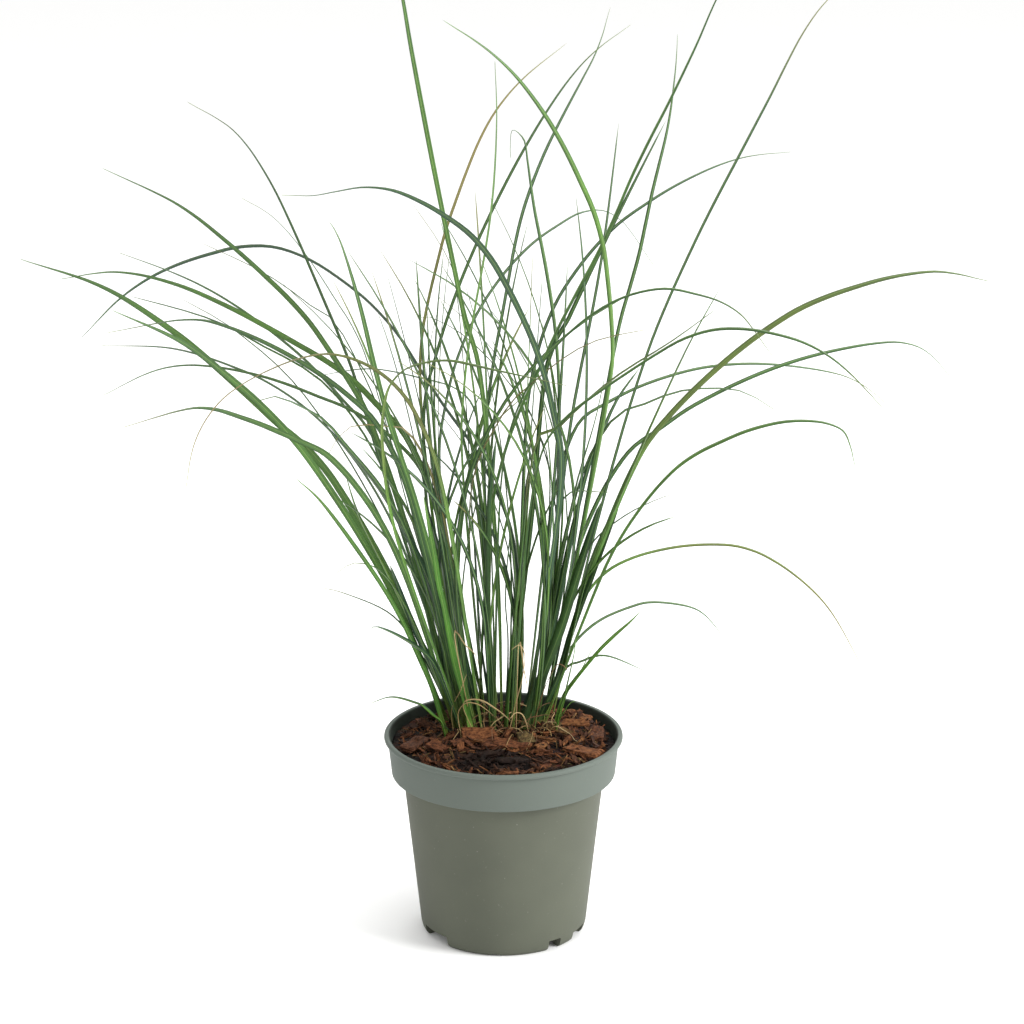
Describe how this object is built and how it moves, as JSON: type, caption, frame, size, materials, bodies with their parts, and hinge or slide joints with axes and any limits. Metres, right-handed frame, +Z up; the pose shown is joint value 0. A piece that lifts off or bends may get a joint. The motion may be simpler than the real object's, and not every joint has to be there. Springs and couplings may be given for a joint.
{
  "type": "potted ornamental grass clump",
  "caption": "Clump of long arching ornamental grass leaves growing in a round tapered plastic nursery pot with bark mulch; stands on its foot ring.",
  "frame": {"origin": "on the pot's axis, on the ground plane that the pot's foot ring stands on", "axes": "+Z up along the pot's axis, +X to the right and -Y towards someone facing the front of the clump"},
  "size_m": [0.7356, 0.6004, 0.8437],
  "materials": {
    "pot_plastic": "matte",
    "compost": "matte",
    "bark": "matte",
    "peat": "matte",
    "leaf_green": "satin",
    "young_leaf": "satin",
    "straw": "matte"
  },
  "bodies": {
    "root": {"pot": "pot_plastic", "soil": "compost", "bark_flake_front": "bark", "bark_flake_left": "bark", "bark_flake_right": "bark", "bark_flake_back": "bark", "bark_flake_side": "bark", "peat_clod": "peat", "leaf_01": "leaf_green", "leaf_02": "leaf_green", "leaf_03": "leaf_green", "leaf_04": "leaf_green", "leaf_05": "leaf_green", "leaf_06": "leaf_green", "leaf_07": "leaf_green", "leaf_08": "leaf_green", "leaf_09": "leaf_green", "leaf_10": "leaf_green", "leaf_11": "leaf_green", "leaf_12": "leaf_green", "leaf_13": "leaf_green", "leaf_14": "leaf_green", "leaf_15": "leaf_green", "leaf_16": "leaf_green", "leaf_17": "leaf_green", "leaf_18": "leaf_green", "leaf_19": "leaf_green", "leaf_20": "leaf_green", "leaf_21": "leaf_green", "leaf_22": "leaf_green", "leaf_23": "leaf_green", "leaf_24": "leaf_green", "leaf_25": "leaf_green", "leaf_26": "leaf_green", "leaf_27": "leaf_green", "leaf_28": "leaf_green", "leaf_29": "leaf_green", "leaf_30": "leaf_green", "leaf_31": "leaf_green", "leaf_32": "leaf_green", "leaf_33": "leaf_green", "leaf_34": "leaf_green", "leaf_35": "leaf_green", "leaf_36": "leaf_green", "leaf_37": "leaf_green", "side_shoot_left": "young_leaf", "side_shoot_centre": "young_leaf", "side_shoot_right": "young_leaf", "dry_leaf_1": "straw", "dry_leaf_2": "straw", "dry_leaf_3": "straw"}
  },
  "joints": []
}
